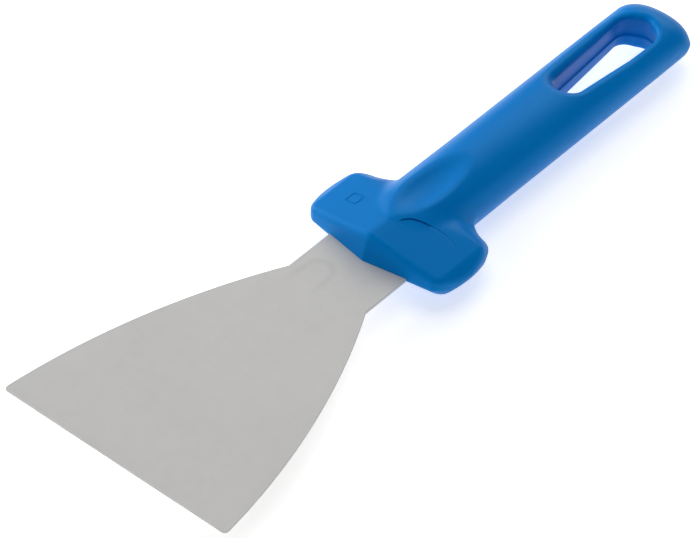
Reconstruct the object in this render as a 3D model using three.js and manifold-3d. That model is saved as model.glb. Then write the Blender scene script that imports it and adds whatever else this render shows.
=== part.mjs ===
// Flexible putty knife: a taper-ground stainless steel blade whose tang is moulded into a one-piece
// polypropylene handle. Millimetres, +X from the working edge to the hanging end, +Z up.
// The pieces are shaped with X = 0 at the working edge and Z = 0 at the blade's mid plane, which is
// also the plane where the two halves of the handle's mould meet.

import * as THREE from 'three';
import { LoftGeometry } from 'three/addons/geometries/LoftGeometry.js';
import { mergeVertices } from 'three/addons/utils/BufferGeometryUtils.js';
import Module from 'manifold-3d';

const CLEARANCE = 0.3; // between the tang and the plastic around it

const BLADE = {
  width: 100,
  cornerRadius: 2.2,
  flareEnd: 106.2, // where the flared sides meet the neck
  flareRadius: 288,
  neckWidth: 34.9,
  shoulder: 138, // where the neck narrows to the tang, inside the handle
  tangWidth: 16,
  tangEnd: 210,
  edgeThickness: 0.6,
  neckThickness: 1.2,
  taperEnd: 104,
  holes: [155, 178, 201], // along the tang, for the plastic pins that lock it
  holeRadius: 3,
};

// The wings across the front of the handle. Each row of the plan is a curve of one wing, given by
// the [x, y] of its control points and its far end, from the front tip round to the grip's side.
const BOLSTER = {
  tip: [125, 0],
  plan: [
    [[128.9, 26.8]],
    [[129.5, 29.7], [134, 30.7]],
    [[141.5, 32.5], [149, 31.6]],
    [[156.2, 31], [159.6, 29], [160.9, 24]],
    [[161.8, 19.6], [163.6, 17], [169, 14.8]],
  ],
  ridgeHeight: 11,
  roofSlope: 0.233,
  roofHalfWidth: 29.2, // from the ridge to the crease above the wing's end
  endSlope: 0.75, // of the roof outside that crease
  frontLean: 0.3, // setback of the upper front face per millimetre of height
  underLean: 1.05, // the same for the lower front face
  rearLean: 0.92,
  hip: [[150, 9.3], [166, 0.3]], // [x, z] where the roof starts and stops falling to the rear
};

const GRIP = {
  noseStart: 138.1, // the grip rises out of the bolster between these two
  noseEnd: 157,
  noseHeightLength: 38,
  tailStart: 275,
  tailHeightStart: 284,
  end: 294.3,
  halfWidth: 15.6,
  widening: 0.0075, // of the half width per millimetre behind the nose
  halfHeight: 12.3,
  thinning: 0.03, // of the half height per millimetre behind thinningStart
  thinningStart: 160,
  sectionPower: 2.1, // exponents of the superellipses, 2 being round
  tailPower: 4,
  tailHeightPower: 2.2,
};

const SLOT = {
  start: 230.9,
  end: 283.3,
  startRadius: 6.5,
  endHalfWidth: 8.9,
  endRadius: 6,
  endBow: 1.4,
  endSweep: 0.25, // angle by which the end corners stop short of square
  rims: [[6, 0], [8, 0.75], [14, 3.2]], // height and how much wider the slot is there
};

const THUMB = { centre: 160.4, halfLength: 19.6, halfWidth: 8.6, floor: 9.6, dish: 6 };
const BADGE = { x: 141.8, y: -14.6, halfLength: 11.7, halfWidth: 5.7, turn: 11.6, depth: 0.35 };
const MARK = { x: 141.4, y: 17.9, size: 5.4, cornerRadius: 0.9, depth: 0.3 };

const wasm = await Module();
wasm.setup();

// Turns a closed three.js geometry into a solid that can be joined and cut.
function solid(geometry) {
  const bare = new THREE.BufferGeometry();
  bare.setAttribute('position', geometry.attributes.position);
  bare.setIndex(geometry.index);
  const merged = mergeVertices(bare, 1e-5);
  const index = merged.index.array;
  const triangles = [];
  for (let i = 0; i < index.length; i += 3) {
    const [a, b, c] = index.slice(i, i + 3);
    if (a !== b && b !== c && c !== a) triangles.push(a, b, c);
  }
  return new wasm.Manifold(new wasm.Mesh({
    numProp: 3,
    vertProperties: new Float32Array(merged.attributes.position.array),
    triVerts: new Uint32Array(triangles),
  }));
}

function geometryOf(body) {
  const { vertProperties, triVerts } = body.getMesh();
  const geometry = new THREE.BufferGeometry();
  geometry.setAttribute('position', new THREE.BufferAttribute(new Float32Array(vertProperties), 3));
  geometry.setIndex(new THREE.BufferAttribute(new Uint32Array(triVerts), 1));
  return mergeVertices(geometry, 1e-5);
}

// A flat plate centred on the parting plane.
function plate(shape, thickness, curveSegments = 24) {
  const options = { depth: thickness, bevelEnabled: false, curveSegments };
  return solid(new THREE.ExtrudeGeometry(shape, options).translate(0, 0, -thickness / 2));
}

// A prism along X from a shape drawn with Y across and Z up.
function prismAlongX(shape, from, to) {
  const geometry = new THREE.ExtrudeGeometry(shape, { depth: to - from, bevelEnabled: false });
  return solid(geometry.rotateX(Math.PI / 2).rotateZ(Math.PI / 2).translate(from, 0, 0));
}

// A prism along Y, centred on the knife, from a shape drawn with X across and Z up.
function prismAlongY(shape, width) {
  const geometry = new THREE.ExtrudeGeometry(shape, { depth: width, bevelEnabled: false });
  return solid(geometry.rotateX(Math.PI / 2).translate(0, width / 2, 0));
}

function loft(sections) {
  return solid(new LoftGeometry(sections, { capStart: true, capEnd: true }));
}

function polygon(points) {
  return new THREE.Shape(points.map(([x, y]) => new THREE.Vector2(x, y)));
}

// ---------------------------------------------------------------- blade

// The blade's outline, grown by a margin so that it also draws the pocket in the handle.
function bladeOutline(margin) {
  const { cornerRadius, flareEnd, flareRadius } = BLADE;
  const half = BLADE.width / 2 + margin;
  const neck = BLADE.neckWidth / 2 + margin;
  const tang = BLADE.tangWidth / 2 + margin;
  const shoulder = BLADE.shoulder + margin;
  const tangArc = BLADE.tangEnd + margin - tang;
  const chord = new THREE.Vector2(flareEnd, neck - half);
  const centre = new THREE.Vector2(chord.y, -chord.x).normalize()
    .multiplyScalar(Math.sqrt(flareRadius ** 2 - chord.lengthSq() / 4))
    .add(new THREE.Vector2(flareEnd / 2, (neck + half) / 2));
  const flareY = centre.y + Math.sqrt(flareRadius ** 2 - (cornerRadius - centre.x) ** 2);
  const cornerAngle = Math.atan2(flareY - centre.y, cornerRadius - centre.x);
  const neckAngle = Math.atan2(neck - centre.y, flareEnd - centre.x);
  const shape = new THREE.Shape();
  shape.moveTo(-margin, cornerRadius - half);
  shape.quadraticCurveTo(-margin, -half, cornerRadius, -flareY);
  shape.absarc(centre.x, -centre.y, flareRadius, -cornerAngle, -neckAngle, false);
  shape.lineTo(shoulder, -neck);
  shape.lineTo(shoulder, -tang);
  shape.lineTo(tangArc, -tang);
  shape.absarc(tangArc, 0, tang, -Math.PI / 2, Math.PI / 2, false);
  shape.lineTo(shoulder, tang);
  shape.lineTo(shoulder, neck);
  shape.lineTo(flareEnd, neck);
  shape.absarc(centre.x, centre.y, flareRadius, neckAngle, cornerAngle, false);
  shape.quadraticCurveTo(-margin, half, -margin, half - cornerRadius);
  return shape;
}

function tangPins(radius) {
  const height = 4 * BLADE.neckThickness;
  return BLADE.holes.map((x) => plate(new THREE.Shape().absarc(x, 0, radius, 0, 2 * Math.PI), height));
}

// Side view of the blade, thin at the working edge and full thickness from the neck back.
function taperedSection() {
  const edge = BLADE.edgeThickness / 2;
  const full = BLADE.neckThickness / 2;
  const before = -1;
  const behind = BLADE.tangEnd + 1;
  return polygon([
    [before, -edge], [0, -edge], [BLADE.taperEnd, -full], [behind, -full],
    [behind, full], [BLADE.taperEnd, full], [0, edge], [before, edge],
  ]);
}

function makeBlade() {
  const sheet = prismAlongY(taperedSection(), 1.1 * BLADE.width);
  let blade = plate(bladeOutline(0), 2 * BLADE.neckThickness, 32).intersect(sheet);
  for (const hole of tangPins(BLADE.holeRadius)) blade = blade.subtract(hole);
  return blade;
}

// ---------------------------------------------------------------- handle

// Plan of the T-shaped bolster at a height: a shallow V in front, bowed wing ends and fillets into
// the grip. The front and rear faces lean towards each other away from the parting plane.
function bolsterOutline(height) {
  const { tip, plan, rearLean } = BOLSTER;
  const wing = new THREE.Path().moveTo(...tip);
  for (const curve of plan) {
    const numbers = curve.flat();
    if (curve.length === 1) wing.lineTo(...numbers);
    else if (curve.length === 2) wing.quadraticCurveTo(...numbers);
    else wing.bezierCurveTo(...numbers);
  }
  const frontLean = height > 0 ? BOLSTER.frontLean : BOLSTER.underLean;
  const [rearX] = plan.at(-2).at(-1);
  const leaning = wing.getPoints(10).map(({ x, y }) => {
    const along = THREE.MathUtils.clamp((x - tip[0]) / (rearX - tip[0]), 0, 1);
    const shift = Math.abs(height) * THREE.MathUtils.lerp(frontLean, -rearLean, along);
    return new THREE.Vector3(x + shift, y, height);
  });
  const opposite = leaning.slice(1).map(({ x, y, z }) => new THREE.Vector3(x, -y, z));
  return [...leaning.reverse(), ...opposite];
}

// Side view of the bolster: level to the hip, then falling to the fillets.
function hipProfile() {
  const [[hipX, hipZ], [endX, endZ]] = BOLSTER.hip;
  const front = BOLSTER.tip[0] - 5;
  const slope = (hipZ - endZ) / (endX - hipX);
  const topX = hipX - 5;
  const topZ = hipZ + 5 * slope;
  return polygon([
    [front, -topZ], [topX, -topZ], [endX, -endZ], [GRIP.noseEnd + 20, -endZ],
    [GRIP.noseEnd + 20, endZ], [endX, endZ], [topX, topZ], [front, topZ],
  ]);
}

// End view of the bolster: a low roof on each half, steeper above the wing ends.
function roofProfile() {
  const { ridgeHeight, roofSlope, roofHalfWidth, endSlope } = BOLSTER;
  const overhang = 5;
  const reach = roofHalfWidth + overhang;
  const eaves = ridgeHeight - roofSlope * roofHalfWidth;
  const low = eaves - endSlope * overhang;
  return polygon([
    [0, ridgeHeight], [-roofHalfWidth, eaves], [-reach, low], [-reach, -low], [-roofHalfWidth, -eaves],
    [0, -ridgeHeight], [roofHalfWidth, -eaves], [reach, -low], [reach, low], [roofHalfWidth, eaves],
  ]);
}

function makeBolster() {
  const reach = 1.1 * BOLSTER.ridgeHeight;
  const block = loft([-reach, 0, reach].map(bolsterOutline));
  const roof = prismAlongX(roofProfile(), BOLSTER.tip[0] - 5, GRIP.noseEnd + 20);
  return block.intersect(roof).intersect(prismAlongY(hipProfile(), BLADE.width));
}

function gripSize(x) {
  const fade = (distance, length, power) => (
    Math.max(0, 1 - (Math.max(0, distance) / length) ** power) ** (1 / power)
  );
  const { noseStart, noseEnd, noseHeightLength, tailStart, tailHeightStart, end } = GRIP;
  return {
    halfWidth: (GRIP.halfWidth + GRIP.widening * (x - noseEnd))
      * fade(noseEnd - x, noseEnd - noseStart, 2)
      * fade(x - tailStart, end - tailStart, GRIP.tailPower),
    halfHeight: (GRIP.halfHeight - GRIP.thinning * Math.max(0, x - GRIP.thinningStart))
      * fade(noseEnd - x, noseHeightLength, 2)
      * fade(x - tailHeightStart, end - tailHeightStart, GRIP.tailHeightPower),
  };
}

function gripSection(x) {
  const { halfWidth, halfHeight } = gripSize(x);
  const round = (value) => Math.sign(value) * Math.abs(value) ** (2 / GRIP.sectionPower);
  const sides = 40;
  return Array.from({ length: sides }, (_, i) => {
    const angle = (i / sides) * 2 * Math.PI;
    return new THREE.Vector3(x, halfWidth * round(Math.cos(angle)), halfHeight * round(Math.sin(angle)));
  });
}

// Sections crowd together towards the ends, where the outline turns fastest.
function makeGrip() {
  const { noseStart, noseEnd, tailStart, end } = GRIP;
  const quarter = Math.PI / 2;
  const stations = [];
  for (let t = 0.02; t < 1; t += 0.14) stations.push(noseEnd - (noseEnd - noseStart) * Math.cos(t * quarter));
  for (let t = 0; t < 1; t += 0.125) stations.push(THREE.MathUtils.lerp(noseEnd, tailStart, t));
  for (let t = 0; t < 1; t += 0.07) stations.push(tailStart + (end - tailStart) * Math.sin(t * quarter));
  return loft(stations.map(gripSection));
}

// The hanging slot's outline, grown by a margin: narrow and round in front, wide and bowed behind.
function slotOutline(margin) {
  const { endSweep } = SLOT;
  const startX = SLOT.start + SLOT.startRadius;
  const startRadius = SLOT.startRadius + margin;
  const endX = SLOT.end - SLOT.endBow - SLOT.endRadius;
  const endY = SLOT.endHalfWidth - SLOT.endRadius;
  const endRadius = SLOT.endRadius + margin;
  const bowX = endX + endRadius * Math.cos(endSweep);
  const bowY = endY + endRadius * Math.sin(endSweep);
  const shape = new THREE.Shape();
  shape.absarc(startX, 0, startRadius, Math.PI / 2, 1.5 * Math.PI, false);
  shape.absarc(endX, -endY, endRadius, -Math.PI / 2, -endSweep, false);
  shape.quadraticCurveTo(2 * (SLOT.end + margin) - bowX, 0, bowX, bowY);
  shape.absarc(endX, endY, endRadius, endSweep, Math.PI / 2, false);
  return shape;
}

// The slot cutter flares where it leaves the handle, which eases the rim.
function slotCutter() {
  const below = SLOT.rims.map(([z, margin]) => [-z, margin]).reverse();
  return loft([...below, ...SLOT.rims].map(([z, margin]) => (
    slotOutline(margin).getSpacedPoints(48).slice(0, -1).map(({ x, y }) => new THREE.Vector3(x, y, z))
  )));
}

// An ellipsoid that leaves a dished oval of the stated size at the crest of the grip.
function thumbScoop(side) {
  const { centre, halfLength, halfWidth, floor, dish } = THUMB;
  const rimHeight = dish - (GRIP.halfHeight - floor);
  const grow = 1 / Math.sqrt(1 - (rimHeight / dish) ** 2);
  const scoop = new THREE.SphereGeometry(1, 32, 24).scale(halfLength * grow, halfWidth * grow, dish);
  return solid(scoop.translate(centre, 0, side * (floor + dish)));
}

// Sinks a shape into the roof of one wing, with its floor parallel to the roof.
function roofPocket(shape, { x, y, depth }) {
  const options = { depth: 10 * depth, bevelEnabled: false, curveSegments: 20 };
  const tilt = -Math.sign(y) * Math.atan(BOLSTER.roofSlope);
  const roof = BOLSTER.ridgeHeight - BOLSTER.roofSlope * Math.abs(y);
  return solid(new THREE.ExtrudeGeometry(shape, options).rotateX(tilt).translate(x, y, roof - depth));
}

function badgeShape() {
  const turn = Math.PI / 2 + THREE.MathUtils.degToRad(BADGE.turn);
  return new THREE.Shape().absellipse(0, 0, BADGE.halfLength, BADGE.halfWidth, 0, 2 * Math.PI, false, turn);
}

function markShape() {
  const r = MARK.cornerRadius;
  const inner = MARK.size / 2 - r;
  const shape = new THREE.Shape();
  shape.absarc(inner, inner, r, 0, Math.PI / 2);
  shape.absarc(-inner, inner, r, Math.PI / 2, Math.PI);
  shape.absarc(-inner, -inner, r, Math.PI, 1.5 * Math.PI);
  shape.absarc(inner, -inner, r, 1.5 * Math.PI, 2 * Math.PI);
  return shape;
}

// The space the tang fills, with the plastic pins that pass through its holes left standing.
function tangPocket() {
  let pocket = plate(bladeOutline(CLEARANCE), BLADE.neckThickness + 2 * CLEARANCE, 32);
  for (const pin of tangPins(BLADE.holeRadius - CLEARANCE)) pocket = pocket.subtract(pin);
  return pocket;
}

function makeHandle() {
  const cutters = [
    slotCutter(),
    thumbScoop(1),
    thumbScoop(-1),
    roofPocket(badgeShape(), BADGE),
    roofPocket(markShape(), MARK),
    tangPocket(),
  ];
  let handle = makeBolster().add(makeGrip());
  for (const cutter of cutters) handle = handle.subtract(cutter);
  return handle;
}

// ---------------------------------------------------------------- assembly

function node(name, body, material) {
  const mesh = new THREE.Mesh(geometryOf(body), new THREE.MeshStandardMaterial(material));
  mesh.name = name;
  return mesh;
}

const knife = new THREE.Group();
knife.add(
  node('blade', makeBlade(), { color: 0xbdbcba, roughness: 0.38, metalness: 1 }),
  node('handle', makeHandle(), { color: 0x0070bc, roughness: 0.42, metalness: 0 }),
);

// The origin is under the middle of the knife, level with its lowest point.
const box = new THREE.Box3().setFromObject(knife);
const middle = box.getCenter(new THREE.Vector3());
knife.position.set(-middle.x, -middle.y, -box.min.z);

export default knife;
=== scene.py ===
"""Flexible putty knife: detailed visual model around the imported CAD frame.

The handle is meshed from a field (millimetres, X from the working edge, Z from the parting plane),
so that every edge has its moulded radius. The blade is built ring by ring from its outline.
"""

import itertools
import math

import bmesh
import bpy
import numpy as np
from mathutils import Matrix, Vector


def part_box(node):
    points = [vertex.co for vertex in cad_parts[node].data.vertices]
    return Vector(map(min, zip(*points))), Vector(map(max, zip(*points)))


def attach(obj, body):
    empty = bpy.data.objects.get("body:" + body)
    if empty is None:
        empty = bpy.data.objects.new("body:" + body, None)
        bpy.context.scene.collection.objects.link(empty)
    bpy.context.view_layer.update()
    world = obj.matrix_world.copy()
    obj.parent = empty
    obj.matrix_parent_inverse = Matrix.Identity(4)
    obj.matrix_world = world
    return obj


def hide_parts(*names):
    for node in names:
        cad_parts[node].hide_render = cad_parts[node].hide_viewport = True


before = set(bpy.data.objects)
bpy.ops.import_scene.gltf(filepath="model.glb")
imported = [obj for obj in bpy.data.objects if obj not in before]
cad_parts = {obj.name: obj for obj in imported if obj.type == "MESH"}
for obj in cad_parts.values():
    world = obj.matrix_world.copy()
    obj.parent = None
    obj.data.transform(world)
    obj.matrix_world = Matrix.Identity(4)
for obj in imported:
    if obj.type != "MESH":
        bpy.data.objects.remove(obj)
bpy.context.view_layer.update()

MM = 0.001
blade_low, blade_high = (Vector(corner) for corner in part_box("blade"))
EDGE_X = blade_low.x
MID_Z = (blade_low.z + blade_high.z) / 2
HANDLE_END = (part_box("handle")[1][0] - EDGE_X) / MM
ORIGIN = np.array([EDGE_X, 0.0, MID_Z])

# ---------------------------------------------------------------- sizes, in millimetres

BLADE = dict(
    width=100, corner=2.2, flare_end=106.2, flare_radius=288, neck=34.9, shoulder=138, tang=16,
    tang_end=210, edge_thickness=0.6, neck_thickness=1.2, taper_end=104, holes=(155, 178, 201),
    hole_radius=3, edge_rounding=0.1,
)
BOLSTER = dict(
    tip=(124.3, 0),
    plan=(
        ((128.9, 26.6),),
        ((129.9, 29.4), (133.6, 30.8)),
        ((141.5, 34.0), (149, 32.1)),
        ((156.2, 30.8), (159.3, 28.8), (160.2, 24)),
        ((161.5, 19.6), (163.4, 17), (169, 14.8)),
    ),
    ridge=11, ridge_rounding=1.3, roof_slope=0.233, roof_half_width=29.1, end_slope=0.75,
    front_lean=0.3, under_lean=1.05, rear_lean=1.0, rear_under_lean=0.75, hip=((150, 9.3), (166, 0.3)),
    rounding=2.3, end_rounding=1.1, end_rounding_y=(26, 30), parting_rounding=0.35,
    crease_blend=0.5, hip_blend=2.4,
    # What each surface's field is scaled by, which brings it nearer to a true distance.
    wall_scale=0.92, roof_scale=0.974, end_scale=0.94, hip_scale=0.87,
)
GRIP = dict(
    nose_start=138.1, nose_end=157, nose_height=38, half_width=15.25, widening=0.003,
    half_height=12.3, thinning=0.03, thinning_start=160, power=2.1, end_power=2.5,
    power_x=(190, 270), nose_rounding=2, end_radius=38, end_inset=0.8, end_side_rounding=2.2,
    end_top_rounding=9.5, end_low_rounding=6,
)
SLOT = dict(
    start=230.9, end=283.5, start_radius=6.4, end_half_width=9.1, end_radius=6, bow=1.4, sweep=0.25,
    ledge=-2.2, ledge_rise=0.8, ledge_width=0.4, draft=0.03, lower_draft=0.10, upper_margin=-1.2,
    upper_z=7, upper_end_radius=8, upper_bow=0.7, rim=4.4, end_rim=2.6, rim_x=(262, 276),
    lower_rim=1.8,
)
THUMB = dict(centre=160.4, half_length=19.6, half_width=8.6, floor=9.6, dish=6, rim=1.3)
BADGE = dict(x=141.8, y=-14.6, half_length=11.7, half_width=5.7, turn=11.6, depth=0.18, groove=0.9)
MARK = dict(x=141.4, y=17.9, size=5.4, corner=0.9, depth=0.16, groove=0.6)
FILLET = dict(middle=0.5, side=2.7, side_y=9)  # between the bolster's roof and the grip
RUN_OUT = dict(x=110.3, y=7.9, radius=5.3, width=2.0, fade=(98, 106))  # the end of the grinding
POCKET_GAP = 0.04  # between the blade and the plastic round it
CUTTER_TOP = 1  # how far a groove's cutter stands above the surface
STEP = 0.42  # of the handle's mesh
GRID = dict(margin=2, half_width=34, half_height=13)  # what the mesh is looked for in


# ---------------------------------------------------------------- outlines

def bezier(points, count=24):
    """Points along a curve of any degree, without its first one."""
    points = [np.array(p, float) for p in points]
    result = []
    for t in np.arange(1, count + 1) / count:
        level = points
        while len(level) > 1:
            level = [(1 - t) * a + t * b for a, b in zip(level, level[1:])]
        result.append(level[0])
    return result


def arc(cx, cy, radius, start, end, count=24):
    angles = np.linspace(start, end, count + 1)
    return [np.array([cx + radius * math.cos(a), cy + radius * math.sin(a)]) for a in angles]


def bolster_half():
    """One wing's plan from the tip to the grip, closed inside the grip and past the centre line."""
    points = [np.array(BOLSTER["tip"], float)]
    for curve in BOLSTER["plan"]:
        points += bezier([points[-1], *curve])
    rear, below = GRIP["nose_end"] + 20, -20
    return np.array([*points, [rear, points[-1][1]], [rear, below], [BOLSTER["tip"][0], below]])


def slot_half(end_radius, bow):
    """One side of the hanging slot's plan, closed past the centre line."""
    s, below = SLOT, -12
    start_x = s["start"] + s["start_radius"]
    end_x = s["end"] - bow - end_radius
    end_y = s["end_half_width"] - end_radius
    corner = arc(end_x, end_y, end_radius, math.pi / 2, s["sweep"])
    end = bezier([corner[-1], (2 * s["end"] - corner[-1][0], 0), corner[-1] * [1, -1]])
    return np.array([*arc(start_x, 0, s["start_radius"], math.pi, math.pi / 2), *corner,
                     *end, [end_x, below], [s["start"], below]])


def blade_outline(margin):
    """The blade's closed outline, counterclockwise, grown by a margin."""
    b = BLADE
    half, neck, tang = (b[k] / 2 + margin for k in ("width", "neck", "tang"))
    end_x = b["tang_end"] + margin - tang
    shoulder = b["shoulder"] + margin
    chord = Vector((b["flare_end"], neck - half))  # the flare's arc, from the working edge to the neck
    rise = math.sqrt(b["flare_radius"] ** 2 - chord.length_squared / 4)
    centre = Vector((chord.y, -chord.x)).normalized() * rise + Vector((chord.x / 2, (neck + half) / 2))
    flare_y = centre.y + math.sqrt(b["flare_radius"] ** 2 - (b["corner"] - centre.x) ** 2)
    first = math.atan2(flare_y - centre.y, b["corner"] - centre.x)
    last = math.atan2(neck - centre.y, b["flare_end"] - centre.x)
    corner = bezier([(b["corner"], flare_y), (-margin, half), (-margin, half - b["corner"])], 8)
    upper = [
        *arc(end_x, 0, tang, 0, math.pi / 2, 12), (shoulder, tang), (shoulder, neck),
        *arc(*centre, b["flare_radius"], last, first, 60), *corner,
    ]
    lower = [(x, -y) for x, y in reversed(upper[1:])]
    return np.array([*upper, *lower], float)


def badge_outline():
    """An ellipse about the origin, lying across the wing and turned a little."""
    turn = math.pi / 2 + math.radians(BADGE["turn"])
    angles = np.linspace(0, 2 * math.pi, 96, endpoint=False)
    u, v = BADGE["half_length"] * np.cos(angles), BADGE["half_width"] * np.sin(angles)
    return np.stack([u * math.cos(turn) - v * math.sin(turn), u * math.sin(turn) + v * math.cos(turn)], 1)


def mark_outline():
    """A rounded square about the origin."""
    r = MARK["corner"]
    inner = MARK["size"] / 2 - r
    signs = ((1, 1), (-1, 1), (-1, -1), (1, -1))
    return np.concatenate([
        arc(sx * inner, sy * inner, r, i * math.pi / 2, (i + 1) * math.pi / 2, 6)
        for i, (sx, sy) in enumerate(signs)])


def segment_distance(points, outline):
    """Signed distance from points to a closed outline, negative inside."""
    start, end = outline, np.roll(outline, -1, axis=0)
    nearest = np.full(len(points), np.inf)
    inside = np.zeros(len(points), bool)
    for (ax, ay), (bx, by) in zip(start, end):
        px, py = points[:, 0] - ax, points[:, 1] - ay
        dx, dy = bx - ax, by - ay
        t = np.clip((px * dx + py * dy) / max(dx * dx + dy * dy, 1e-12), 0, 1)
        nearest = np.minimum(nearest, (px - t * dx) ** 2 + (py - t * dy) ** 2)
        if dy:
            crosses = (ay > points[:, 1]) != (by > points[:, 1])
            inside ^= crosses & (px < dx * py / dy)
    return np.where(inside, -1, 1) * np.sqrt(nearest)


class PlanField:
    """Distance to an outline that mirrors across Y = 0, looked up from a fine table."""

    STEP = 0.1

    def __init__(self, outline, low_x, high_x, high_y):
        self.low_x = low_x
        xs = np.arange(low_x, high_x, self.STEP)
        ys = np.arange(0, high_y, self.STEP)
        grid = np.stack(np.meshgrid(xs, ys, indexing="ij"), -1).reshape(-1, 2)
        self.table = segment_distance(grid, outline).reshape(len(xs), len(ys))

    def __call__(self, x, y):
        u = np.clip((x - self.low_x) / self.STEP, 0, self.table.shape[0] - 1.001)
        v = np.clip(np.abs(y) / self.STEP, 0, self.table.shape[1] - 1.001)
        i, j = u.astype(int), v.astype(int)
        u, v = u - i, v - j
        t = self.table
        return ((1 - u) * ((1 - v) * t[i, j] + v * t[i, j + 1])
                + u * ((1 - v) * t[i + 1, j] + v * t[i + 1, j + 1]))


# ---------------------------------------------------------------- the handle's field

def round_max(a, b, radius):
    """Inside both fields, with the edge between them rounded."""
    return (np.minimum(np.maximum(a, b), -radius)
            + np.hypot(np.maximum(a + radius, 0), np.maximum(b + radius, 0)))


def blend_max(a, b, width):
    """Inside both fields, for surfaces that meet at a shallow angle."""
    overlap = np.maximum(width - np.abs(a - b), 0) / width
    return np.maximum(a, b) + overlap * overlap * width / 4


def smooth_abs(value, softness):
    return np.sqrt(value * value + softness * softness) - softness


def share_of(value, span):
    """0 before a span, 1 after it, rising evenly in between."""
    return np.clip((value - span[0]) / (span[1] - span[0]), 0, 1)


# Each outline is followed by its table's lowest x, highest x and highest y.
bolster_plan = PlanField(bolster_half(), 112, 180, 40)
slot_lower = PlanField(slot_half(SLOT["end_radius"], SLOT["bow"]), 222, 292, 16)
slot_upper = PlanField(slot_half(SLOT["upper_end_radius"], SLOT["upper_bow"]), 222, 292, 16)


def bolster_field(x, y, z):
    """The plan, drawn in at its tip and rear away from the parting plane, under the roof's slopes."""
    b = BOLSTER
    rise = smooth_abs(z, b["parting_rounding"])
    front = np.where(z > 0, b["front_lean"], b["under_lean"])
    tip, rear = b["tip"][0], b["plan"][-2][-1][0]
    back = np.where(z > 0, b["rear_lean"], b["rear_under_lean"])
    share = rise * (front + back) / (rear - tip)
    between = (x - rise * front - share * tip) / (1 - share)
    plan_x = np.where(between < tip, x - rise * front,
                      np.where(between > rear, x + rise * back, between))
    wall = bolster_plan(plan_x, y) * b["wall_scale"]
    height = np.abs(z)
    reach = np.hypot(y, b["ridge_rounding"])
    roof = (height - b["ridge"] + b["roof_slope"] * reach) * b["roof_scale"]
    eaves = b["ridge"] - b["roof_slope"] * b["roof_half_width"]
    slope = (height - eaves + b["end_slope"] * (np.abs(y) - b["roof_half_width"])) * b["end_scale"]
    (hip_x, hip_z), (end_x, end_z) = b["hip"]
    fall = (hip_z - end_z) / (end_x - hip_x)
    hip = (height - hip_z + fall * (x - hip_x)) * b["hip_scale"]
    top = blend_max(blend_max(roof, slope, b["crease_blend"]), hip, b["hip_blend"])
    outer = share_of(np.abs(y), b["end_rounding_y"])
    return round_max(wall, top, b["rounding"] + (b["end_rounding"] - b["rounding"]) * outer)


def grip_size(x):
    """Half the grip's width and height at x. Both shrink to its nose inside the bolster."""
    g = GRIP
    # Both shares stop short of 1, so that neither size reaches zero.
    nose = np.clip((g["nose_end"] - x) / (g["nose_end"] - g["nose_start"]), 0, 0.985)
    rise = np.clip((g["nose_end"] - x) / g["nose_height"], 0, 0.98)
    half_width = (g["half_width"] + g["widening"] * (x - g["nose_end"])) * np.sqrt(1 - nose ** 2)
    half_height = g["half_height"] - g["thinning"] * np.maximum(0, x - g["thinning_start"])
    return half_width, half_height * np.sqrt(1 - rise ** 2)


def grip_field(x, y, z):
    """A superellipse along X, squarer towards the tail, cut by the tail's bowed and rounded end."""
    g = GRIP
    power = g["power"] + (g["end_power"] - g["power"]) * share_of(x, g["power_x"])
    probe = 0.2

    def level(at):
        w, h = grip_size(at)
        u, v = np.abs(y) / w, np.abs(z) / h
        return (u ** power + v ** power + 1e-9) ** (1 / power), u, v, w, h

    f, u, v, w, h = level(x)
    along = (level(x + probe)[0] - level(x - probe)[0]) / (2 * probe * f)
    across = (u / f) ** (power - 1) / w
    up = (v / f) ** (power - 1) / h
    body = (f - 1) / np.sqrt(across ** 2 + up ** 2 + along ** 2)
    body = round_max(body, g["nose_start"] - 1 - x, g["nose_rounding"])
    radius = g["end_radius"]
    end = np.hypot(np.maximum(x - HANDLE_END + g["end_inset"] + radius, 0), y) - radius
    upward = np.clip(np.abs(z) / h, 0, 1)
    full = np.where(z > 0, g["end_top_rounding"], g["end_low_rounding"])
    rounding = g["end_side_rounding"] + (full - g["end_side_rounding"]) * upward
    return round_max(body, end, rounding)


def thumb_field(x, y, z):
    """An ellipsoid above each face of the grip, sized where it crosses the grip's highest line."""
    t = THUMB
    rim = t["dish"] - (GRIP["half_height"] - t["floor"])
    grow = 1 / math.sqrt(1 - (rim / t["dish"]) ** 2)
    a, b, c = t["half_length"] * grow, t["half_width"] * grow, t["dish"]
    x, z = x - t["centre"], np.abs(z) - (t["floor"] + c)
    f = np.sqrt((x / a) ** 2 + (y / b) ** 2 + (z / c) ** 2) + 1e-9
    return (f - 1) * f / np.sqrt((x / a ** 2) ** 2 + (y / b ** 2) ** 2 + (z / c ** 2) ** 2 + 1e-12)


def slot_field(x, y, z):
    """The mould's two cores, which meet at a small ledge below the middle.

    The lower one widens away from the ledge. The upper one narrows a little towards its rounded rim.
    """
    s = SLOT
    upper = np.clip((z - s["ledge"]) / s["ledge_rise"], 0, 1)
    upper = upper * upper * (3 - 2 * upper)
    high = np.clip(z / s["upper_z"], 0, 1)
    plan = slot_lower(x, y) + (slot_upper(x, y) - slot_lower(x, y)) * high
    draft = np.where(z > s["ledge"], s["draft"], -s["lower_draft"]) * (z - s["ledge"])
    return plan - draft - s["upper_margin"] * high - s["ledge_width"] * (upper - 0.5)


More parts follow.
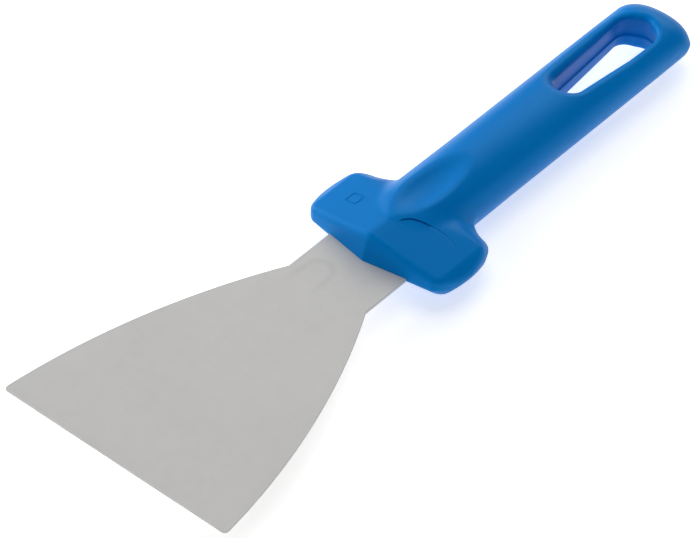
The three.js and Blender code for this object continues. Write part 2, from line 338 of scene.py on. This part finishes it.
def handle_field(x, y, z):
    """The bolster and grip joined by a fillet, less the thumb recesses and the hanging slot."""
    outward = np.clip(np.abs(y) / FILLET["side_y"], 0, 1)
    fillet = FILLET["middle"] + (FILLET["side"] - FILLET["middle"]) * outward
    solid = -blend_max(-bolster_field(x, y, z), -grip_field(x, y, z), fillet)
    solid = round_max(solid, -thumb_field(x, y, z), THUMB["rim"])
    rim = SLOT["rim"] + (SLOT["end_rim"] - SLOT["rim"]) * share_of(x, SLOT["rim_x"])
    rim = np.where(z > 0, rim, SLOT["lower_rim"])
    return round_max(solid, -slot_field(x, y, z), rim)


# ---------------------------------------------------------------- meshing

def surface_net(field, start, step):
    """Vertices and outward quads around the zero surface of a field sampled on a grid."""
    nx, ny, nz = (n - 1 for n in field.shape)
    offsets = list(itertools.product((0, 1), repeat=3))
    inside = field < 0
    count = sum(inside[i:nx + i, j:ny + j, k:nz + k].astype(np.int8) for i, j, k in offsets)
    active = (count > 0) & (count < 8)
    cells = np.argwhere(active)
    number = np.full((nx, ny, nz), -1)
    number[active] = np.arange(len(cells))
    total = np.zeros((len(cells), 3))
    hits = np.zeros(len(cells))
    for a, b in itertools.combinations(offsets, 2):
        if sum(map(abs, np.subtract(a, b))) != 1:
            continue
        fa, fb = field[tuple((cells + a).T)], field[tuple((cells + b).T)]
        cross = (fa < 0) != (fb < 0)
        t = np.where(cross, fa / np.where(cross, fa - fb, 1), 0)[:, None]
        total += np.where(cross[:, None], np.array(a) + t * np.subtract(b, a), 0)
        hits += cross
    points = start + step * (cells + total / hits[:, None])
    quads = []
    for axis in range(3):
        one = np.eye(3, dtype=int)
        u, v = one[(axis + 1) % 3], one[(axis + 2) % 3]
        low = [slice(0, -1) if i == axis else slice(1, -1) for i in range(3)]
        high = [slice(1, None) if i == axis else slice(1, -1) for i in range(3)]
        here, there = inside[tuple(low)], inside[tuple(high)]
        for leaving in (True, False):
            edge = np.argwhere(here & ~there if leaving else ~here & there)
            edge += 1 - one[axis]
            ring = [edge - u - v, edge - v, edge, edge - u]
            quad = np.stack([number[tuple(cell.T)] for cell in ring], 1)
            quads.append(quad if leaving else quad[:, ::-1])
    return points, np.concatenate(quads)


def gradient(points, h=0.04):
    result = np.empty_like(points)
    for axis in range(3):
        move = np.zeros(3)
        move[axis] = h
        result[:, axis] = (handle_field(*(points + move).T) - handle_field(*(points - move).T)) / (2 * h)
    return result


def settle(points, quads):
    """Evens the mesh out twice, each time bringing it back on to the surface, and then once more."""
    furthest = 0.4
    edges = np.concatenate([quads[:, [i, (i + 1) % 4]] for i in range(4)])
    degree = np.bincount(edges[:, 0], minlength=len(points))[:, None]
    for relax in (0.6, 0.5, 0):
        total = np.stack([np.bincount(edges[:, 0], points[edges[:, 1], i], len(points))
                          for i in range(3)], 1)
        points = points + relax * (total / degree - points)
        for _ in range(2):
            slope = gradient(points)
            value = handle_field(*points.T)[:, None]
            step = value * slope / np.maximum((slope ** 2).sum(1, keepdims=True), 0.05)
            points = points - np.clip(step, -furthest, furthest)
    return points


def new_object(name, points_mm, faces):
    mesh = bpy.data.meshes.new(name)
    mesh.from_pydata((np.asarray(points_mm) * MM + ORIGIN).tolist(), [], faces)
    mesh.update()
    piece = bpy.data.objects.new(name, mesh)
    bpy.context.scene.collection.objects.link(piece)
    return piece


def prism(name, outline, low, high):
    """A straight-sided cutter from a plan outline."""
    return layers(name, [np.column_stack([outline, np.full(len(outline), z)]) for z in (low, high)])


def layers(name, rings):
    """A closed body through rings of points that lie one above the other."""
    n, last = len(rings[0]), (len(rings) - 1) * len(rings[0])
    faces = [tuple(range(n))[::-1], tuple(range(last, last + n))]
    for k in range(0, last, n):
        faces += [(k + i, k + (i + 1) % n, k + n + (i + 1) % n, k + n + i) for i in range(n)]
    return new_object(name, np.concatenate(rings), faces)


def cut(piece, cutters):
    for cutter in cutters:
        modifier = piece.modifiers.new("cut", "BOOLEAN")
        modifier.operation = "DIFFERENCE"
        modifier.solver = "MANIFOLD"
        modifier.object = cutter
    bpy.context.view_layer.update()
    evaluated = piece.evaluated_get(bpy.context.evaluated_depsgraph_get())
    mesh = bpy.data.meshes.new_from_object(evaluated)
    piece.modifiers.clear()
    piece.data = mesh
    for cutter in cutters:
        bpy.data.objects.remove(cutter)


def shade(piece, degrees):
    piece.data.shade_smooth()
    piece.data.set_sharp_from_angle(angle=math.radians(degrees))


# ---------------------------------------------------------------- pieces

def on_roof(rings, x, y):
    """Rings drawn about the origin, stood on the sloping roof of a wing."""
    tilt = math.atan(BOLSTER["roof_slope"]) * (1 if y < 0 else -1)
    ridge = BOLSTER["ridge"] - BOLSTER["roof_slope"] * abs(y)
    c, s = math.cos(tilt), math.sin(tilt)
    return [np.stack([u + x, y + c * v - s * w, ridge + s * v + c * w], 1)
            for u, v, w in (np.array(ring, float).T for ring in rings)]


def groove_cutter(name, outer, inner, outer_z, inner_z, x, y):
    """A ring that cuts a groove between two outlines into a wing's roof, down to the given heights."""
    corners = ((outer, outer_z), (outer, CUTTER_TOP), (inner, CUTTER_TOP), (inner, inner_z))
    rings = on_roof([np.column_stack([ring, np.broadcast_to(z, len(ring))]) for ring, z in corners], x, y)
    n = len(outer)
    faces = [(k * n + i, k * n + (i + 1) % n, (k + 1) % 4 * n + (i + 1) % n, (k + 1) % 4 * n + i)
             for k in range(4) for i in range(n)]
    return new_object(name, np.concatenate(rings), faces)


def badge_cutter():
    """The oval's border: a small step with a slope inside it, deepest at the rear and gone in front."""
    outline = badge_outline()
    turn = math.radians(BADGE["turn"])
    rear = outline @ (math.cos(turn), math.sin(turn)) / BADGE["half_width"]
    inner = outline * (1 - BADGE["groove"] / np.hypot(*outline.T))[:, None]
    clear = 0.02
    return groove_cutter("badge", outline, inner, -BADGE["depth"] * rear, clear, BADGE["x"], BADGE["y"])


def mark_cutter():
    """A shallow groove round a small square."""
    outline = mark_outline()
    inner = outline * (1 - 2 * MARK["groove"] / MARK["size"])
    depth = MARK["depth"]
    return groove_cutter("mark", outline, inner, -depth, -depth, MARK["x"], MARK["y"])


def make_handle():
    """Meshes one side's field and its mirror image as one, then cuts the pocket, badge and mark."""
    xs = np.arange(BOLSTER["tip"][0] - GRID["margin"], HANDLE_END + GRID["margin"], STEP)
    ys = np.arange(0, GRID["half_width"], STEP)
    zs = np.arange(-GRID["half_height"], GRID["half_height"], STEP)
    half = handle_field(*np.meshgrid(xs, ys, zs, indexing="ij"))
    field = np.concatenate([half[:, :0:-1], half], axis=1)
    points, quads = surface_net(field, np.array([xs[0], -ys[-1], zs[0]]), STEP)
    handle = new_object("handle_body", settle(points, quads), quads.tolist())
    thickness = BLADE["neck_thickness"] / 2 + POCKET_GAP
    pocket = prism("pocket", blade_outline(POCKET_GAP), -thickness, thickness)
    cut(handle, [pocket, badge_cutter(), mark_cutter()])
    shade(handle, 40)
    return handle


def make_blade():
    """Four rings round the outline, split where the taper and the neck end, with the tang's holes."""
    b = BLADE
    r = b["edge_rounding"]

    def half_thickness(x):
        taper = np.clip(x / b["taper_end"], 0, 1)
        return (b["edge_thickness"] + (b["neck_thickness"] - b["edge_thickness"]) * taper) / 2

    outer, inner = blade_outline(0), blade_outline(-r)
    rings = [(inner, -1, 0), (outer, -1, r), (outer, 1, r), (inner, 1, 0)]
    points = [(x, y, side * (half_thickness(x) - inset)) for ring, side, inset in rings for x, y in ring]
    n = len(outer)
    faces = [tuple(range(n))[::-1], tuple(range(3 * n, 4 * n))]
    for k in range(3):
        faces += [(k * n + i, k * n + (i + 1) % n, (k + 1) * n + (i + 1) % n, (k + 1) * n + i)
                  for i in range(n)]
    blade = new_object("blade_sheet", points, faces)
    mesh = bmesh.new()
    mesh.from_mesh(blade.data)
    for x in (b["taper_end"], b["shoulder"] + 0.5):
        geometry = mesh.verts[:] + mesh.edges[:] + mesh.faces[:]
        bmesh.ops.bisect_plane(mesh, geom=geometry, plane_co=(EDGE_X + x * MM, 0, 0), plane_no=(1, 0, 0))
    mesh.to_mesh(blade.data)
    mesh.free()
    cut(blade, [prism("hole", np.array(arc(x, 0, b["hole_radius"], 0, 2 * math.pi, 48)[:-1]), -3, 3)
                for x in b["holes"]])
    shade(blade, 30)
    return blade


# ---------------------------------------------------------------- materials

class Shader:
    """A material's node tree, built one node at a time."""

    def __init__(self, name):
        self.material = bpy.data.materials.new(name)
        self.material.use_nodes = True
        self.tree = self.material.node_tree
        self.bsdf = self.tree.nodes["Principled BSDF"]
        self.coords = self.add("ShaderNodeTexCoord").outputs["Object"]

    def add(self, kind, inputs=(), **settings):
        node = self.tree.nodes.new(kind)
        for key, value in settings.items():
            setattr(node, key, value)
        for key, value in dict(inputs).items():
            self.set(node.inputs[key], value)
        return node

    def set(self, socket, value):
        if isinstance(value, bpy.types.NodeSocket):
            self.tree.links.new(value, socket)
        else:
            socket.default_value = value

    def math(self, operation, a, b=0.0, clamp=False):
        return self.add("ShaderNodeMath", {0: a, 1: b}, operation=operation, use_clamp=clamp).outputs[0]

    def noise(self, scale, detail=2.0, stretch=(1, 1, 1), roughness=0.5):
        mapping = self.add("ShaderNodeMapping", {"Vector": self.coords, "Scale": stretch})
        return self.add("ShaderNodeTexNoise", {
            "Vector": mapping.outputs[0], "Scale": scale, "Detail": detail, "Roughness": roughness,
        }).outputs["Fac"]

    def ramp(self, value, low, high, to_low=0.0, to_high=1.0):
        return self.add("ShaderNodeMapRange", {
            "Value": value, "From Min": low, "From Max": high, "To Min": to_low, "To Max": to_high,
        }).outputs[0]

    def mix(self, factor, a, b):
        node = self.add("ShaderNodeMix", data_type="RGBA")
        for socket, value in zip((node.inputs[0], node.inputs[6], node.inputs[7]), (factor, a, b)):
            self.set(socket, value)
        return node.outputs[2]

    def bump(self, height, strength, distance, normal=None):
        inputs = {"Height": height, "Strength": strength, "Distance": distance}
        if normal is not None:
            inputs["Normal"] = normal
        return self.add("ShaderNodeBump", inputs).outputs[0]


def steel():
    """Satin stainless sheet: fine cross grinding, faint mottling, a few specks, a grind run-out."""
    s = Shader("satin_steel")
    grain = s.noise(1.0, 3, (9000, 260, 260))
    mottle = s.noise(160, 4, roughness=0.6)
    cloud = s.noise(28, 2)
    specks = s.ramp(s.noise(900, 1), 0.83, 0.86)
    x, y, _ = s.add("ShaderNodeSeparateXYZ", {0: s.coords}).outputs
    past = s.math("MAXIMUM", s.math("SUBTRACT", x, EDGE_X + RUN_OUT["x"] * MM), 0.0)
    side = s.math("SUBTRACT", y, RUN_OUT["y"] * MM)
    square = s.math("ADD", s.math("MULTIPLY", past, past), s.math("MULTIPLY", side, side))
    off = s.math("ABSOLUTE", s.math("SUBTRACT", s.math("POWER", square, 0.5), RUN_OUT["radius"] * MM))
    arc_line = s.ramp(off, 0.0, RUN_OUT["width"] * MM, 1.0, 0.0)
    fade = s.ramp(x, *(EDGE_X + end * MM for end in RUN_OUT["fade"]))
    run_out = s.math("MULTIPLY", arc_line, fade)
    shade_value = s.math("ADD", s.math("MULTIPLY", mottle, 0.35), s.math("MULTIPLY", grain, 0.3))
    shade_value = s.math("ADD", shade_value, s.math("MULTIPLY", cloud, 0.35))
    colour = s.mix(s.ramp(shade_value, 0.3, 0.7), (0.53, 0.525, 0.515, 1), (0.60, 0.595, 0.585, 1))
    colour = s.mix(s.math("MULTIPLY", run_out, 0.22), colour, (0.40, 0.395, 0.385, 1))
    colour = s.mix(specks, colour, (0.33, 0.32, 0.31, 1))
    s.set(s.bsdf.inputs["Base Color"], colour)
    s.set(s.bsdf.inputs["Metallic"], 0.45)
    s.set(s.bsdf.inputs["Roughness"], s.ramp(s.math("ADD", shade_value, s.math("MULTIPLY", run_out, 0.2)),
                                             0.2, 0.8, 0.46, 0.60))
    normal = s.bump(grain, 0.12, 0.00004)
    normal = s.bump(run_out, 0.15, 0.00006, normal)
    s.set(s.bsdf.inputs["Normal"], normal)
    return s.material


def plastic():
    """Satin moulded polypropylene: fine spark-eroded grain, flow tone, scuffs, a parting line."""
    s = Shader("blue_polypropylene")
    flow = s.noise(45, 3, (0.35, 1, 1))
    speckle = s.noise(2600, 2)
    grain = s.noise(4200, 2)
    scuffs = s.ramp(s.noise(1.0, 2, (90, 2400, 2400)), 0.70, 0.78)
    _, _, z = s.add("ShaderNodeSeparateXYZ", {0: s.coords}).outputs
    line = s.ramp(s.math("ABSOLUTE", s.math("SUBTRACT", z, MID_Z)), 0.00004, 0.00016, 1.0, 0.0)
    worn = s.ramp(s.add("ShaderNodeNewGeometry").outputs["Pointiness"], 0.54, 0.62)
    tone = s.math("ADD", s.math("MULTIPLY", flow, 0.6), s.math("MULTIPLY", speckle, 0.4))
    colour = s.mix(s.ramp(tone, 0.3, 0.7), (0.0, 0.178, 0.56, 1), (0.0, 0.200, 0.62, 1))
    colour = s.mix(s.math("MULTIPLY", worn, 0.25), colour, (0.02, 0.22, 0.58, 1))
    s.set(s.bsdf.inputs["Base Color"], colour)
    rough = s.math("ADD", s.ramp(tone, 0.3, 0.7, 0.32, 0.42), s.math("MULTIPLY", scuffs, 0.08))
    s.set(s.bsdf.inputs["Roughness"], rough)
    s.set(s.bsdf.inputs["Specular IOR Level"], 0.25)
    s.set(s.bsdf.inputs["IOR"], 1.4)
    s.set(s.bsdf.inputs["Specular Tint"], (0.05, 0.7, 1, 1))
    normal = s.bump(grain, 0.10, 0.00006)
    normal = s.bump(line, 0.35, 0.00006, normal)
    s.set(s.bsdf.inputs["Normal"], normal)
    return s.material


def floor_material():
    s = Shader("floor_paint")
    tone = s.noise(6, 4)
    s.set(s.bsdf.inputs["Base Color"], s.mix(tone, (0.78, 0.78, 0.78, 1), (0.81, 0.81, 0.81, 1)))
    s.set(s.bsdf.inputs["Emission Color"], (1, 1, 1, 1))
    s.set(s.bsdf.inputs["Emission Strength"], 0.6)
    s.set(s.bsdf.inputs["Roughness"], 0.7)
    s.set(s.bsdf.inputs["Specular IOR Level"], 0.1)
    return s.material


# ---------------------------------------------------------------- studio

FLOOR_REACH = 12  # metres from the middle to each side
HORIZON = {"From Min": 0.07, "From Max": 0.16, "To Min": 0.9, "To Max": 0.0}  # light against height
CAMERA = dict(elevation=43.70, azimuth=-48.977, distance=1.37025, lens=205.71, target=(119.05, 0.8))
# Name, position in metres, size in metres, power in watts. All of them face the origin.
LIGHTS = (
    ("key_low", (-0.1, 1.0, 0.28), (1.0, 0.4), 6.4),
    ("key_high", (-0.12, 0.85, 0.62), (0.9, 0.5), 1.9),
    ("top", (0.05, 0.0, 1.15), (0.8, 0.8), 4.2),
    ("rear_high", (0.65, 0.5, 0.75), (0.8, 0.8), 2.1),
    ("rear_low", (0.95, 0.3, 0.55), (0.6, 0.5), 2.0),
    ("edge_side", (-0.9, 0.4, 0.5), (0.7, 0.5), 2.0),
    ("fill", (0.4, -0.95, 0.25), (0.8, 0.4), 1.4),
)


def area_light(name, location, size, power):
    data = bpy.data.lights.new(name, "AREA")
    data.shape = "RECTANGLE"
    data.size, data.size_y = size
    data.energy = power
    light = bpy.data.objects.new(name, data)
    light.location = location
    light.rotation_euler = (-Vector(location)).to_track_quat("-Z", "Y").to_euler()
    bpy.context.scene.collection.objects.link(light)


def sky():
    """Pale up to just above the horizon and dark higher up, so that it lights the knife very little."""
    world = bpy.data.worlds.new("studio")
    world.use_nodes = True
    nodes, links = world.node_tree.nodes, world.node_tree.links
    nodes["Background"].inputs["Color"].default_value = (0.97, 0.98, 1.0, 1)
    split, band = nodes.new("ShaderNodeSeparateXYZ"), nodes.new("ShaderNodeMapRange")
    links.new(nodes.new("ShaderNodeTexCoord").outputs["Generated"], split.inputs[0])
    links.new(split.outputs["Z"], band.inputs["Value"])
    links.new(band.outputs[0], nodes["Background"].inputs["Strength"])
    for name, value in HORIZON.items():
        band.inputs[name].default_value = value
    bpy.context.scene.world = world


def studio():
    floor_mesh = bpy.data.meshes.new("floor")
    corners = [(x * FLOOR_REACH, y * FLOOR_REACH, 0) for x, y in ((-1, -1), (1, -1), (1, 1), (-1, 1))]
    floor_mesh.from_pydata(corners, [], [(0, 1, 2, 3)])
    floor = bpy.data.objects.new("floor", floor_mesh)
    floor_mesh.materials.append(floor_material())
    bpy.context.scene.collection.objects.link(floor)
    for name, location, size, power in LIGHTS:
        area_light(name, location, size, power)
    sky()
    bpy.context.scene.view_settings.view_transform = "Standard"


def camera():
    """Looks at a point given in millimetres from the middle of the working edge."""
    elevation, azimuth = math.radians(CAMERA["elevation"]), math.radians(CAMERA["azimuth"])
    ahead, aside = CAMERA["target"]
    target = Vector((EDGE_X + ahead * MM, aside * MM, MID_Z))
    back = Vector((math.sin(azimuth) * math.cos(elevation), -math.cos(azimuth) * math.cos(elevation),
                   math.sin(elevation)))
    data = bpy.data.cameras.new("camera")
    data.sensor_width = 36
    data.lens = CAMERA["lens"]
    eye = bpy.data.objects.new("camera", data)
    eye.location = target + back * CAMERA["distance"]
    eye.rotation_euler = (-back).to_track_quat("-Z", "Y").to_euler()
    bpy.context.scene.collection.objects.link(eye)
    bpy.context.scene.camera = eye


# ---------------------------------------------------------------- assembly

camera()
studio()
blade = make_blade()
blade.data.materials.clear()
blade.data.materials.append(steel())
handle = make_handle()
handle.data.materials.clear()
handle.data.materials.append(plastic())
for piece, node in ((blade, "blade"), (handle, "handle")):
    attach(piece, "root")
    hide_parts(node)
